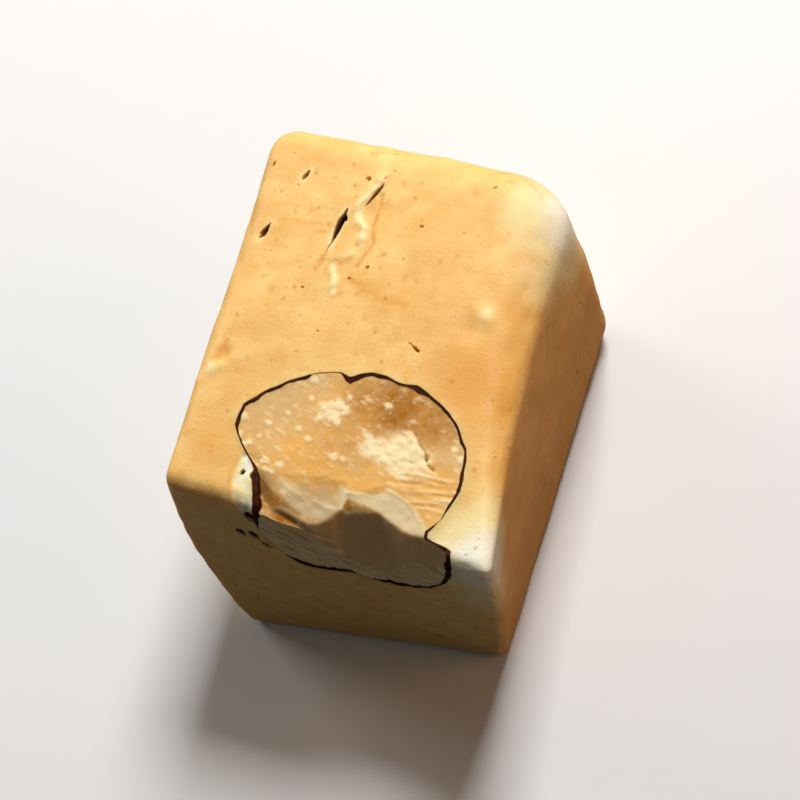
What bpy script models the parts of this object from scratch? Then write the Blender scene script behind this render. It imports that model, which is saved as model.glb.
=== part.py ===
"""Nougat block with almonds, modelled in metres with +Z up.

One hand-cut block of cream nougat. A large almond was cut through where the top meets the front,
and a smaller one shows low on the back. Each almond is its kernel with its skin, in a pocket of
its own. The block stands on its flat base, and the origin is in the middle of that base.
Sizes and places are in millimetres, and MM turns them into metres.
"""
import math

import bmesh
import bpy
from mathutils import Matrix, Vector
from mathutils.bvhtree import BVHTree

MM = 0.001

# Corners of the block
# Each corner has its x, y and z and the radius of its rounding. An edge blends from the radius at
# one end to the radius at the other, so the soft corner at the back right runs out to the front.
CORNERS = {
    "front left base": (-11.8, -19.6, 0.0, 0.8),
    "front right base": (12.5, -18.9, 0.0, 0.9),
    "back left base": (-15.4, 16.1, 0.0, 1.2),
    "back right base": (14.0, 15.1, 0.0, 2.2),
    "front left top": (-14.2, -15.9, 22.1, 1.2),
    "front right top": (16.4, -19.4, 21.7, 0.8),
    "back left top": (-14.1, 20.0, 22.9, 2.6),
    "back right top": (13.9, 18.7, 23.1, 5.6),
}
# How far each side swells beyond its corners, half way along it
SWELL_LEFT = 1.4
SWELL_RIGHT = 0.4
SWELL_FRONT = 0.5
SWELL_BACK = 0.7
SWELL_TOP = 0.35
# The top right edge is drawn in a little, half way along it
DRAWN_IN_RIGHT = 1.0

# Mesh rows across each side, and how strongly they crowd towards the edges
BLOCK_CUTS = 14
CROWDING = 1.25

# The almond at the front
# It is measured on the two faces that cut it, from a point on the edge between them: each pair is
# a direction in degrees, from right over the middle of the face to left, and the distance there.
FRONT_ALMOND_AT = (2.8, -18.0, 22.1)
OUTLINE_ON_TOP = (
    (0, 7.8), (10, 8.1), (22, 9.4), (30, 10.7), (45, 12.6), (60, 13.6), (80, 14.1), (92, 14.6),
    (101, 13.9), (115, 15.0), (139, 15.4), (146, 14.2), (153, 10.0), (165, 8.3), (180, 7.6),
)
OUTLINE_ON_FRONT = (
    (0, 7.8), (8, 10.1), (30, 9.9), (46, 9.6), (60, 8.6), (75, 8.0), (98, 7.3), (110, 8.1),
    (127, 9.4), (150, 9.3), (165, 8.5), (180, 7.6),
)
# Two flakes are broken off the kernel where it met the front edge
# Each is a flat break: a point on it, its size across and along, its lean to the front, its turn
FLAKES = {
    "flake_left": ((-2.0, -13.4, 22.4), (9.6, 8.0), 20, -8),
    "flake_right": ((6.5, -15.8, 22.1), (8.6, 9.0), 50, -20),
}
FLAKE_TOOL_HEIGHT = 4.0

# The almond at the back, a plain oval: its middle, its half sizes and its turn in the face
BACK_ALMOND_AT = (-3.6, 17.0, 8.6)
BACK_ALMOND_HALF = (8.2, 6.5, 4.6)
BACK_ALMOND_TURN = 14

POCKET_GAP = 0.3
ALMOND_ROWS = 30
ALMOND_RINGS = 28

# Relief on the top face: x, y, length, width, depth or height, and turn from the x axis
HOLLOWS_ON_TOP = {
    "slit": (-5.0, 9.3, 3.9, 0.8, 1.6, 83),
    "crack": (-3.0, 13.1, 2.3, 0.4, 0.7, 54),
    "pit_back": (-9.5, 14.2, 1.4, 0.6, 0.7, 66),
    "pit_left": (-11.7, 8.3, 1.8, 0.6, 0.8, 62),
    "pit_round": (-3.7, 14.6, 0.7, 0.6, 0.5, 0),
    "nick": (5.0, -0.8, 1.2, 0.5, 0.5, -35),
    "bay": (-6.7, -15.1, 4.2, 2.0, 1.6, 105),
}
BUMPS_ON_TOP = {
    "bump_right": (10.2, 3.0, 2.0, 1.3, 0.35, -20),
    "bump_left": (-12.0, -5.0, 1.5, 1.1, 0.3, 10),
}
# A torn ridge runs beside the slit: its turning points, its width and its height
RIDGE = ((-3.0, 13.9), (-3.9, 11.6), (-2.9, 9.5), (-3.1, 7.5), (-4.1, 5.9), (-3.8, 3.7))
RIDGE_WIDTH = 0.9
RIDGE_HEIGHT = 0.22
# Hollows beside the almond on the front face: x, z, length, width, depth and turn
HOLLOWS_ON_FRONT = {
    "front_pit_a": (-7.9, 17.6, 1.5, 0.7, 0.8, -25),
    "front_pit_b": (-6.4, 18.3, 1.2, 0.7, 0.8, 20),
}

NOUGAT_COLOUR = (0.82, 0.66, 0.42, 1.0)
ALMOND_COLOUR = (0.72, 0.52, 0.29, 1.0)


def clear_scene():
    for thing in list(bpy.data.objects):
        bpy.data.objects.remove(thing, do_unlink=True)


def make_collection(name):
    group = bpy.data.collections.new(name)
    bpy.context.scene.collection.children.link(group)
    return group


def make_material(name, colour, roughness):
    material = bpy.data.materials.new(name)
    material.use_nodes = True
    shader = material.node_tree.nodes["Principled BSDF"]
    shader.inputs["Base Color"].default_value = colour
    shader.inputs["Roughness"].default_value = roughness
    return material


def make_object(name, mesh, group):
    thing = bpy.data.objects.new(name, mesh)
    group.objects.link(thing)
    return thing


def mesh_from(bm, name):
    """Turns a bmesh in millimetres into a mesh in metres."""
    bmesh.ops.recalc_face_normals(bm, faces=bm.faces)
    bmesh.ops.scale(bm, vec=(MM, MM, MM), verts=bm.verts)
    mesh = bpy.data.meshes.new(name)
    bm.to_mesh(mesh)
    bm.free()
    return mesh


def make_tool(name, mesh, group):
    """A solid that only cuts or builds up another one."""
    tool = make_object(name, mesh, group)
    tool.hide_render = True
    tool.display_type = "WIRE"
    return tool


def share_of_corner(name, place):
    """How much a corner counts at a place whose three values run from -1 to 1."""
    sides = (
        1 if "right" in name else -1,
        1 if "back" in name else -1,
        1 if "top" in name else -1,
    )
    share = 1.0
    for side, value in zip(sides, place):
        share *= (1 + side * value) / 2
    return share


def blend_corners(place):
    """The block's point and its rounding radius at a place between the corners."""
    point = Vector((0, 0, 0))
    radius = 0.0
    for name, (x, y, z, corner_radius) in CORNERS.items():
        share = share_of_corner(name, place)
        point += share * Vector((x, y, z))
        radius += share * corner_radius
    return point, radius


def mean_half_size():
    """Half the block's width, depth and height, averaged over its corners."""
    half = Vector((0, 0, 0))
    for name, (x, y, z, _) in CORNERS.items():
        half.x += abs(x) / 8
        half.y += abs(y) / 8
        half.z += z / 8
    return half


def round_off(place, half):
    """Pulls a place on the sharp block in to the rounded one."""
    _, radius = blend_corners(place)
    sharp = Vector((place.x * half.x, place.y * half.y, place.z * half.z))
    core = Vector((
        max(-half.x + radius, min(half.x - radius, sharp.x)),
        max(-half.y + radius, min(half.y - radius, sharp.y)),
        max(-half.z + radius, min(half.z - radius, sharp.z)),
    ))
    outward = sharp - core
    soft = core + outward.normalized() * radius
    return Vector((soft.x / half.x, soft.y / half.y, soft.z / half.z))


def swell(place):
    """How far the sides stand out at a place, in millimetres."""
    across = math.cos(place.x * math.pi / 2)
    along = math.cos(place.y * math.pi / 2)
    upright = math.cos(place.z * math.pi / 2)
    right = (1 + place.x) / 2
    back = (1 + place.y) / 2
    top = (1 + place.z) / 2
    x = (SWELL_RIGHT * right - SWELL_LEFT * (1 - right)) * upright
    x -= DRAWN_IN_RIGHT * right * top * along
    y = (SWELL_BACK * back - SWELL_FRONT * (1 - back)) * upright * across
    z = SWELL_TOP * top * top * across * along
    return Vector((x, y, z))


def crowd(value):
    """Moves a mesh row towards the nearer edge, where the form curves most."""
    return math.sin(value * CROWDING) / math.sin(CROWDING)


def block_form():
    """The whole block before anything is cut from it."""
    bm = bmesh.new()
    bmesh.ops.create_cube(bm, size=2)
    bmesh.ops.subdivide_edges(bm, edges=bm.edges, cuts=BLOCK_CUTS, use_grid_fill=True)
    half = mean_half_size()
    for vert in bm.verts:
        place = Vector([crowd(value) for value in vert.co])
        soft = round_off(place, half)
        point, _ = blend_corners(soft)
        vert.co = point + swell(soft)
    return bm


def outline_radius(outline, angle):
    """Reads an outline's distance in a direction between its pairs."""
    for (start, near), (end, far) in zip(outline, outline[1:]):
        if angle <= end:
            part = (angle - start) / (end - start)
            return near + (far - near) * part
    return outline[-1][1]


def front_almond_form(extra):
    """The front almond, whose two cut outlines blend into each other through the nougat."""
    bm = bmesh.new()
    bmesh.ops.create_uvsphere(bm, u_segments=ALMOND_RINGS, v_segments=ALMOND_ROWS, radius=1)
    bmesh.ops.rotate(bm, verts=bm.verts, matrix=Matrix.Rotation(math.pi / 2, 3, "Y"))
    for vert in bm.verts:
        ray = vert.co.normalized()
        angle = math.degrees(math.acos(max(-1.0, min(1.0, ray.x))))
        around = math.atan2(ray.z, ray.y)
        on_top = outline_radius(OUTLINE_ON_TOP, angle)
        on_front = outline_radius(OUTLINE_ON_FRONT, angle)
        radius = on_top * math.cos(around) ** 2 + on_front * math.sin(around) ** 2
        vert.co = Vector(FRONT_ALMOND_AT) + ray * (radius + extra)
    return bm


def back_almond_form(extra):
    bm = bmesh.new()
    bmesh.ops.create_uvsphere(bm, u_segments=ALMOND_RINGS, v_segments=ALMOND_ROWS, radius=1)
    size = [half + extra for half in BACK_ALMOND_HALF]
    bmesh.ops.scale(bm, vec=size, verts=bm.verts)
    for vert in bm.verts:
        # the right end is the narrow one
        narrowing = 1 - 0.22 * vert.co.x / size[0]
        vert.co.z *= narrowing
    turn = Matrix.Rotation(math.radians(BACK_ALMOND_TURN), 3, "Y")
    bmesh.ops.rotate(bm, verts=bm.verts, matrix=turn)
    bmesh.ops.translate(bm, vec=BACK_ALMOND_AT, verts=bm.verts)
    return bm


def lens(middle, length, width, thickness, turn, face):
    """A small lens lying in the top or the front face, for a hollow or a bump."""
    bm = bmesh.new()
    bmesh.ops.create_uvsphere(bm, u_segments=10, v_segments=6, radius=1)
    bmesh.ops.scale(bm, vec=(length / 2, width / 2, thickness), verts=bm.verts)
    bmesh.ops.rotate(bm, verts=bm.verts, matrix=Matrix.Rotation(math.radians(turn), 3, "Z"))
    if face == "front":
        bmesh.ops.rotate(bm, verts=bm.verts, matrix=Matrix.Rotation(math.pi / 2, 3, "X"))
    bmesh.ops.translate(bm, vec=middle, verts=bm.verts)
    return bm


def flake_form(point, size, lean, turn):
    """A box whose underside is the flat break that it leaves in the kernel."""
    bm = bmesh.new()
    bmesh.ops.create_cube(bm, size=1)
    bmesh.ops.translate(bm, vec=(0, 0, 0.5), verts=bm.verts)
    bmesh.ops.scale(bm, vec=(size[0], size[1], FLAKE_TOOL_HEIGHT), verts=bm.verts)
    leaning = Matrix.Rotation(math.radians(lean), 3, "X")
    turned = Matrix.Rotation(math.radians(turn), 3, "Z")
    bmesh.ops.rotate(bm, verts=bm.verts, matrix=turned @ leaning)
    bmesh.ops.translate(bm, vec=point, verts=bm.verts)
    return bm


class Surface:
    """Finds points on the outside of the block."""

    def __init__(self, bm):
        self.tree = BVHTree.FromBMesh(bm)

    def on_top(self, x, y):
        point, _, _, _ = self.tree.ray_cast(Vector((x, y, 100)), Vector((0, 0, -1)))
        return point

    def on_front(self, x, z):
        point, _, _, _ = self.tree.ray_cast(Vector((x, -100, z)), Vector((0, 1, 0)))
        return point


def add_boolean(thing, name, operation, group=None, tool=None):
    cut = thing.modifiers.new(name, "BOOLEAN")
    cut.operation = operation
    cut.solver = "EXACT"
    if group:
        cut.operand_type = "COLLECTION"
        cut.collection = group
    else:
        cut.object = tool


def make_hollows(surface, group):
    for name, (x, y, length, width, depth, turn) in HOLLOWS_ON_TOP.items():
        form = lens(surface.on_top(x, y), length, width, depth, turn, "top")
        make_tool(name, mesh_from(form, name), group)
    for name, (x, z, length, width, depth, turn) in HOLLOWS_ON_FRONT.items():
        form = lens(surface.on_front(x, z), length, width, depth, turn, "front")
        make_tool(name, mesh_from(form, name), group)


def make_raised(surface, group):
    for name, (x, y, length, width, height, turn) in BUMPS_ON_TOP.items():
        form = lens(surface.on_top(x, y), length, width, height, turn, "top")
        make_tool(name, mesh_from(form, name), group)
    for number, (start, end) in enumerate(zip(RIDGE, RIDGE[1:])):
        run = Vector(end) - Vector(start)
        middle = (Vector(start) + Vector(end)) / 2
        turn = math.degrees(math.atan2(run.y, run.x))
        length = run.length + RIDGE_WIDTH
        point = surface.on_top(middle.x, middle.y)
        name = "ridge_%d" % number
        form = lens(point, length, RIDGE_WIDTH, RIDGE_HEIGHT, turn, "top")
        make_tool(name, mesh_from(form, name), group)


def main():
    clear_scene()
    pieces = make_collection("nougat block")
    cutters = make_collection("cutters")
    raised = make_collection("raised")
    shapers = make_collection("shapers")
    flakes = make_collection("flakes")

    form = block_form()
    surface = Surface(form)
    whole = mesh_from(form, "whole block")
    uncut = make_tool("uncut_block", whole.copy(), shapers)
    for name, (point, size, lean, turn) in FLAKES.items():
        make_tool(name, mesh_from(flake_form(point, size, lean, turn), name), flakes)

    make_hollows(surface, cutters)
    make_raised(surface, raised)
    make_tool("front_pocket", mesh_from(front_almond_form(POCKET_GAP), "front pocket"), cutters)
    make_tool("back_pocket", mesh_from(back_almond_form(POCKET_GAP), "back pocket"), cutters)

    nougat = make_object("nougat_block", whole, pieces)
    nougat.data.materials.append(make_material("cream nougat", NOUGAT_COLOUR, 0.55))
    add_boolean(nougat, "raised relief", "UNION", group=raised)
    add_boolean(nougat, "pockets and hollows", "DIFFERENCE", group=cutters)

    almond_finish = make_material("almond", ALMOND_COLOUR, 0.6)
    front = make_object("almond_front", mesh_from(front_almond_form(0), "front almond"), pieces)
    front.data.materials.append(almond_finish)
    add_boolean(front, "cut by the knife", "INTERSECT", tool=uncut)
    add_boolean(front, "broken flakes", "DIFFERENCE", group=flakes)

    back = make_object("almond_back", mesh_from(back_almond_form(0), "back almond"), pieces)
    back.data.materials.append(almond_finish)
    add_boolean(back, "cut by the knife", "INTERSECT", tool=uncut)


main()
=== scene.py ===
# %% [markdown]
# # A nougat block with almonds
# This lesson dresses a hand-cut block of cream nougat. The block was cut with a knife, so its
# faces are nearly flat and its edges are soft, and the knife also went through a whole almond.
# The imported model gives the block's place and size, and every new piece stays inside its box to
# within a fraction of a millimetre.

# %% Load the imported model
import math

import bpy
import numpy as np
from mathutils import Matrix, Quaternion, Vector, noise
from mathutils.bvhtree import BVHTree


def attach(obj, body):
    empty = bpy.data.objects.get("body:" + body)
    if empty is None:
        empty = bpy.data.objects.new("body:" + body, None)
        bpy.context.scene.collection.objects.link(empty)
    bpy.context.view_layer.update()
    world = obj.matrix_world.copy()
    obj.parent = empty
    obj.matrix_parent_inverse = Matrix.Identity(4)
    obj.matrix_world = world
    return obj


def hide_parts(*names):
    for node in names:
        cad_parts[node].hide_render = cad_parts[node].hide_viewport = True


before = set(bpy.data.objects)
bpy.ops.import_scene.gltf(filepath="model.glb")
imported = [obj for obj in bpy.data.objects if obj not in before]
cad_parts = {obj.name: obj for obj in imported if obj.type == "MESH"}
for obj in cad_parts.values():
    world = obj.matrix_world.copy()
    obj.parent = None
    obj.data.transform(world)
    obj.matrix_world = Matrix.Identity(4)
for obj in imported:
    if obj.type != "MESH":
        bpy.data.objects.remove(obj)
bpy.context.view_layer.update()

MM = 0.001
print("nodes", sorted(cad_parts))

# %% [markdown]
# ## Helpers for working by hand
# An operator acts on everything that is selected, so each step first selects one piece alone.
# Sculpting moves the points of a mesh, so small helpers read and write them in millimetres.

# %% Select one piece, read and write its points
def take(piece):
    """Leaves one piece selected and active, in object mode."""
    if bpy.context.object and bpy.context.object.mode != "OBJECT":
        bpy.ops.object.mode_set(mode="OBJECT")
    bpy.ops.object.select_all(action="DESELECT")
    piece.select_set(True)
    bpy.context.view_layer.objects.active = piece


def rows_of(parts, name):
    """Three values of every point or face of a mesh, one row each."""
    flat = np.empty(len(parts) * 3)
    parts.foreach_get(name, flat)
    return flat.reshape(-1, 3)


def points_of(piece):
    """The piece's points in millimetres."""
    return rows_of(piece.data.vertices, "co") / MM


def normals_of(piece):
    return rows_of(piece.data.vertices, "normal")


def move_points(piece, points):
    """Puts the piece's points at places given in millimetres."""
    piece.data.vertices.foreach_set("co", (points * MM).ravel())
    piece.data.update()


def turn(first, second, degrees):
    """Two coordinates of every point, turned about the third."""
    cos, sin = math.cos(math.radians(degrees)), math.sin(math.radians(degrees))
    return first * cos - second * sin, first * sin + second * cos


def read_off(table, values):
    """Reads values off a table of pairs, with straight lines between them."""
    return np.interp(values, *np.array(table).T)


def ripple(points, size, seed):
    """Smooth noise from about -1 to 1. The size is one length in mm, or three to stretch it."""
    spots = points / np.array(size) + seed * 13.7
    return np.array([noise.noise(spot) for spot in spots])


def finish_modifier(piece, name):
    take(piece)
    bpy.ops.object.modifier_apply(modifier=name)

# %% [markdown]
# ## The form of the block
# The real block leans a little to every side, because it was cut by eye. Its eight corners set the
# form: each has its place and the radius of its rounding, and an edge blends from one radius to
# the next. The back right corner is the softest. The sides then swell slightly beyond the corners.

# %% Corners, roundings and swelling, in millimetres
CORNERS = {
    "front left base": (-11.8, -19.6, 0.0, 0.8),
    "front right base": (12.5, -18.9, 0.0, 0.9),
    "back left base": (-15.4, 16.1, 0.0, 1.2),
    "back right base": (14.0, 15.1, 0.0, 2.2),
    "front left top": (-14.2, -15.9, 22.1, 1.2),
    "front right top": (16.4, -19.4, 21.7, 0.8),
    "back left top": (-14.1, 20.0, 22.9, 2.6),
    "back right top": (13.9, 18.7, 23.1, 5.6),
}
SWELL_LEFT = 1.4
SWELL_RIGHT = 0.4
SWELL_FRONT = 0.5
SWELL_BACK = 0.7
SWELL_TOP = 0.35
DRAWN_IN_RIGHT = 1.0


def blend_corners(place):
    """Points and rounding radii for places whose three values run from -1 to 1."""
    points = np.zeros_like(place)
    radii = np.zeros(len(place))
    for name, (x, y, z, radius) in CORNERS.items():
        share = (1 + (1 if "right" in name else -1) * place[:, 0]) / 2
        share = share * (1 + (1 if "back" in name else -1) * place[:, 1]) / 2
        share = share * (1 + (1 if "top" in name else -1) * place[:, 2]) / 2
        points += share[:, None] * np.array((x, y, z))
        radii += share * radius
    return points, radii


corner_table = np.array([values[:3] for values in CORNERS.values()])
HALF = np.abs(corner_table).mean(axis=0)
print("half width, half depth and half height", HALF.round(2))


def round_off(place):
    """Pulls places on the sharp block in to the rounded one."""
    _, radii = blend_corners(place)
    sharp = place * HALF
    limit = HALF - radii[:, None]
    core = np.clip(sharp, -limit, limit)
    outward = sharp - core
    length = np.linalg.norm(outward, axis=1, keepdims=True)
    return (core + outward / np.maximum(length, 1e-9) * radii[:, None]) / HALF


def swell(place):
    """How far the sides stand out, in millimetres."""
    across, along, upright = np.cos(place * math.pi / 2).T
    right, back, top = ((1 + place) / 2).T
    x = (SWELL_RIGHT * right - SWELL_LEFT * (1 - right)) * upright
    x = x - DRAWN_IN_RIGHT * right * top * along
    y = (SWELL_BACK * back - SWELL_FRONT * (1 - back)) * upright * across
    z = SWELL_TOP * top * top * across * along
    return np.stack((x, y, z), axis=1)


def block_form(place):
    """Where the places of a plain cube lie on the real block, in millimetres."""
    soft = round_off(place)
    points, _ = blend_corners(soft)
    return points + swell(soft)

# %% [markdown]
# ## A cube becomes the block
# A cube is added, subdivided in edit mode, and its points are moved to the block's form. The rows
# are drawn towards the edges first, because that is where the form curves most.

# %% Add and shape the block
CROWDING = 1.15
BLOCK_CUTS = 84
SOFT_FROM = 2.2
RUBS = 40


def add(shape, name, **settings):
    """Adds one of the mesh shapes, with nothing else selected."""
    bpy.ops.object.select_all(action="DESELECT")
    shape(**settings)
    piece = bpy.context.object
    piece.name = name
    return piece


def edit_all():
    """Goes into edit mode with the whole mesh selected."""
    bpy.ops.object.mode_set(mode="EDIT")
    bpy.ops.mesh.select_all(action="SELECT")


def unit(values):
    """Values kept between 0 and 1."""
    return np.clip(values, 0, 1)


def subdivided_cube(name, cuts):
    piece = add(bpy.ops.mesh.primitive_cube_add, name, size=2)
    edit_all()
    bpy.ops.mesh.subdivide(number_cuts=cuts)
    bpy.ops.object.mode_set(mode="OBJECT")
    return piece


def shape_block(piece):
    place = points_of(piece) * MM
    place = np.sin(place * CROWDING) / math.sin(CROWDING)
    move_points(piece, block_form(place))


nougat = subdivided_cube("nougat", BLOCK_CUTS)
shape_block(nougat)
# the soft back right corner is rubbed even, as with the smooth brush
_, radii = blend_corners(points_of(nougat) / HALF - np.array((0, 0, 1)))
soft_corner = nougat.vertex_groups.new(name="soft corner")
for index, radius in enumerate(radii):
    soft_corner.add([index], float(unit((radius - SOFT_FROM) / 2)), "REPLACE")
rub = nougat.modifiers.new("rub", "SMOOTH")
rub.factor = 0.5
rub.iterations = RUBS
rub.vertex_group = soft_corner.name
finish_modifier(nougat, rub.name)
print("block", len(nougat.data.vertices), "points")

# %% [markdown]
# The slit, the torn ridge and the torn bay beside the almond need a finer mesh than the plain
# faces. Only the faces there are selected, by their place, and subdivided again, as one would with
# the circle select tool.

# %% Where the fine features lie, in millimetres
SLIT = ((-4.9, 11.2), (-5.1, 9.9), (-5.4, 7.6), (-5.7, 5.6))
LONG_RIDGE = (
    (-2.4, 14.5), (-3.1, 13.3), (-3.75, 12.0), (-3.8, 11.3), (-3.3, 10.4), (-2.65, 9.6), (-2.55, 8.9),
)
SOFT_RIDGE = ((-2.6, 8.9), (-2.8, 7.9), (-3.3, 7.0), (-3.9, 6.6), (-4.6, 6.5))
SHORT_RIDGE = ((-4.5, 5.9), (-4.2, 5.1), (-3.85, 4.3), (-3.75, 3.4))
FLAP_EDGE = ((-2.0, 13.2), (-1.9, 11.4), (-2.0, 9.9), (-1.5, 8.3), (-1.9, 7.2), (-2.3, 6.0))
HOOK = ((-12.4, -4.4), (-12.5, -3.3), (-12.1, -2.8), (-11.6, -3.4))
SMEAR = ((-2.6, 4.8), (-0.4, 3.6), (1.2, 3.2), (2.9, 2.9))
SCRATCH_BACK = ((-10.9, 9.7), (-6.6, 9.6))
SCRATCH_FRONT = ((-10.7, 9.0), (-6.2, 8.9))
BAY = ((-6.75, -13.1), (-6.85, -14.2), (-6.65, -15.4), (-6.3, -16.6))
BAY_WIDTH = 1.15


def beside_line(points, line):
    """Distance in the top face from each point to a line of places: above 0 on the line's left."""
    side = np.full(len(points), 1e9)
    for start, end in zip(line, line[1:]):
        run = np.subtract(end, start)
        offset = points[:, :2] - start
        offset = offset - unit(offset @ run / (run @ run))[:, None] * run
        gap = np.linalg.norm(offset, axis=1)
        sign = np.where(run[0] * offset[:, 1] < run[1] * offset[:, 0], -1, 1)
        side = np.where(gap < np.abs(side), sign * gap, side)
    return side


def distance_to_line(points, line):
    return np.abs(beside_line(points, line))


def refine(piece, wanted, cuts=1):
    """Subdivides the faces whose middles pass a test."""
    chosen = wanted(rows_of(piece.data.polygons, "center") / MM)
    take(piece)
    bpy.ops.object.mode_set(mode="EDIT")
    bpy.ops.mesh.select_mode(type="FACE")
    bpy.ops.mesh.select_all(action="DESELECT")
    bpy.ops.object.mode_set(mode="OBJECT")
    piece.data.polygons.foreach_set("select", chosen)
    bpy.ops.object.mode_set(mode="EDIT")
    bpy.ops.mesh.subdivide(number_cuts=cuts)
    bpy.ops.mesh.select_mode(type="VERT")
    bpy.ops.object.mode_set(mode="OBJECT")
    print("refined", int(chosen.sum()), "faces of", piece.name)


def near_tear(points):
    lines = (LONG_RIDGE, SOFT_RIDGE, SHORT_RIDGE, SLIT, BAY)
    gaps = [distance_to_line(points, line) for line in lines]
    return (points[:, 2] > 18) & (np.min(gaps, axis=0) < 1.9)


refine(nougat, near_tear, cuts=3)

# %% [markdown]
# ## The almond's form
# The knife shows the almond's outline on two faces. Seen from a point on the edge between them,
# each outline is a list of directions and distances. The hidden side blends from one to the other.
# A pocket, a skin and a kernel all come from this one form, each a little larger or smaller.

# %% The front almond's outlines
FRONT_ALMOND_AT = np.array((2.8, -18.0, 22.1))
OUTLINE_ON_TOP = (
    (0, 9.8), (1.8, 9.3), (4, 8.1), (5.5, 7.5), (10, 7.6), (19, 8.9), (22, 9.4), (30, 10.7),
    (45, 12.6), (60, 13.6), (77, 14.3), (83, 14.0), (89, 14.5), (94, 14.7), (98, 14.35),
    (101, 14.1), (105, 14.7), (115, 15.0), (139, 15.4), (146, 14.2), (153, 10.2), (165, 8.7), (172, 8.3),
    (180, 8.0),
)
OUTLINE_ON_FRONT = (
    (0, 9.8), (8, 10.1), (30, 9.9), (46, 9.6), (60, 8.6), (75, 8.0), (98, 7.3), (110, 8.1),
    (127, 9.4), (150, 9.3), (165, 8.7), (180, 8.0),
)
WAVE = 0.17


def front_directions(points):
    """Directions from the almond's point on the edge: the angle from the right, and round it."""
    ray = points - FRONT_ALMOND_AT
    ray = ray / np.maximum(np.linalg.norm(ray, axis=1, keepdims=True), 1e-9)
    angle = np.degrees(np.arccos(np.clip(ray[:, 0], -1, 1)))
    around = np.arctan2(ray[:, 2], ray[:, 1])
    return ray, angle, around


def front_radius(ray, angle, around):
    on_top = read_off(OUTLINE_ON_TOP, angle)
    on_front = read_off(OUTLINE_ON_FRONT, angle)
    plain = on_top * np.cos(around) ** 2 + on_front * np.sin(around) ** 2
    # nearer to the front face than the almond's point, the front outline alone holds
    plain = np.where(ray[:, 1] < 0, on_front, plain)
    # the skin's edge wanders a little from the smooth outline
    return plain + WAVE * ripple(ray * 12, 1.4, 1) + 0.5 * WAVE * ripple(ray * 12, 0.6, 2)

# %% [markdown]
# The back almond is smaller, and only an oval of it shows. It is a plain egg shape, narrower at
# one end. The sphere of each almond is added with the sphere tool and turned so that its poles
# point left and right, where they are hidden or lie on the edge.

# %% Spheres shaped into almonds
BACK_ALMOND_AT = np.array((-3.7, 17.1, 8.6))
BACK_ALMOND_HALF = np.array((8.2, 6.5, 4.6))
BACK_ALMOND_TURN = 14
BACK_ALMOND_NARROWS = 0.22
# segments and rings of each almond's sphere
FRONT_GRID = (140, 110)
BACK_GRID = (110, 80)


def sphere(name, segments, rings):
    """A unit sphere with its poles on the X axis."""
    piece = add(bpy.ops.mesh.primitive_uv_sphere_add, name, segments=segments, ring_count=rings, radius=1)
    edit_all()
    bpy.ops.transform.rotate(value=math.pi / 2, orient_axis="Y", center_override=(0, 0, 0))
    bpy.ops.object.mode_set(mode="OBJECT")
    return piece


def from_front_almond(points):
    """Distance from the front almond's form: below 0 inside it."""
    return np.linalg.norm(points - FRONT_ALMOND_AT, axis=1) - front_radius(*front_directions(points))


def front_almond(name, extra):
    piece = sphere(name, *FRONT_GRID)
    start = points_of(piece) * MM + FRONT_ALMOND_AT
    ray, angle, around = front_directions(start)
    radius = front_radius(ray, angle, around) + extra(angle, around, ray)
    move_points(piece, FRONT_ALMOND_AT + ray * radius[:, None])
    return piece


def back_almond(name, extra):
    piece = sphere(name, *BACK_GRID)
    ray = points_of(piece) * MM
    size = BACK_ALMOND_HALF + extra(ray)[:, None]
    uneven = 1 + 0.022 * ripple(ray, 0.42, 5) + 0.010 * ripple(ray, 0.13, 6)
    points = ray * size * uneven[:, None]
    points[:, 2] *= 1 - BACK_ALMOND_NARROWS * ray[:, 0]
    x, y, z = points.T
    x, z = turn(x, z, -BACK_ALMOND_TURN)
    move_points(piece, np.stack((x, y, z), axis=1) + BACK_ALMOND_AT)
    return piece

# %% [markdown]
# ## Sculpting the nougat
# Nougat is pulled and folded before it is cut, so its faces wave a little, and the knife drags
# faint lines across them. Beside the slit a ridge was torn up. These are shallow, so the points are
# pushed along their normals by fractions of a millimetre, as with the draw brush.

# %% Waves, ridge, bumps and worn edges
LIP = 0.07
BUMPS = (
    # x, y, radius and height in mm
    (10.1, 3.1, 0.7, 0.34),
    (10.7, 2.5, 0.4, 0.2),
    (9.2, 2.0, 1.3, -0.22),
    (-12.6, -5.0, 0.45, 0.28),
    (-12.0, -4.7, 0.35, 0.18),
    (-11.9, -3.6, 0.5, -0.22),
    (-10.4, -3.5, 0.9, 0.07),
    (-5.9, 12.1, 1.6, 0.12),
    (3.0, 5.4, 2.0, -0.08),
)
RIDGES = (
    # line, height, and width on its left and right in mm
    (LONG_RIDGE, 0.25, 0.75, 0.22),
    (SOFT_RIDGE, 0.13, 0.90, 0.35),
    (SHORT_RIDGE, 0.20, 0.60, 0.28),
)
SCRATCHES = (
    # line, depth and width in mm
    (FLAP_EDGE, 0.13, 0.16),
    (SLIT[1:], 0.10, 0.22),
    (SCRATCH_BACK, 0.05, 0.12),
    (SCRATCH_FRONT, 0.05, 0.12),
    (HOOK, 0.14, 0.22),
    (SMEAR, 0.05, 0.3),
)


def hill(gap, width):
    """1 where the gap is 0, falling softly to 0 on both sides."""
    return np.exp(-(gap / width) ** 2)


def in_bay(points):
    """1 in the torn bay at the almond's left end, fading to 0 round it."""
    gap = distance_to_line(points, BAY) + 0.22 * ripple(points, 0.9, 13)
    return unit((BAY_WIDTH - gap) / 0.45) * unit((points[:, 2] - 20.4) / 0.6)


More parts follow.
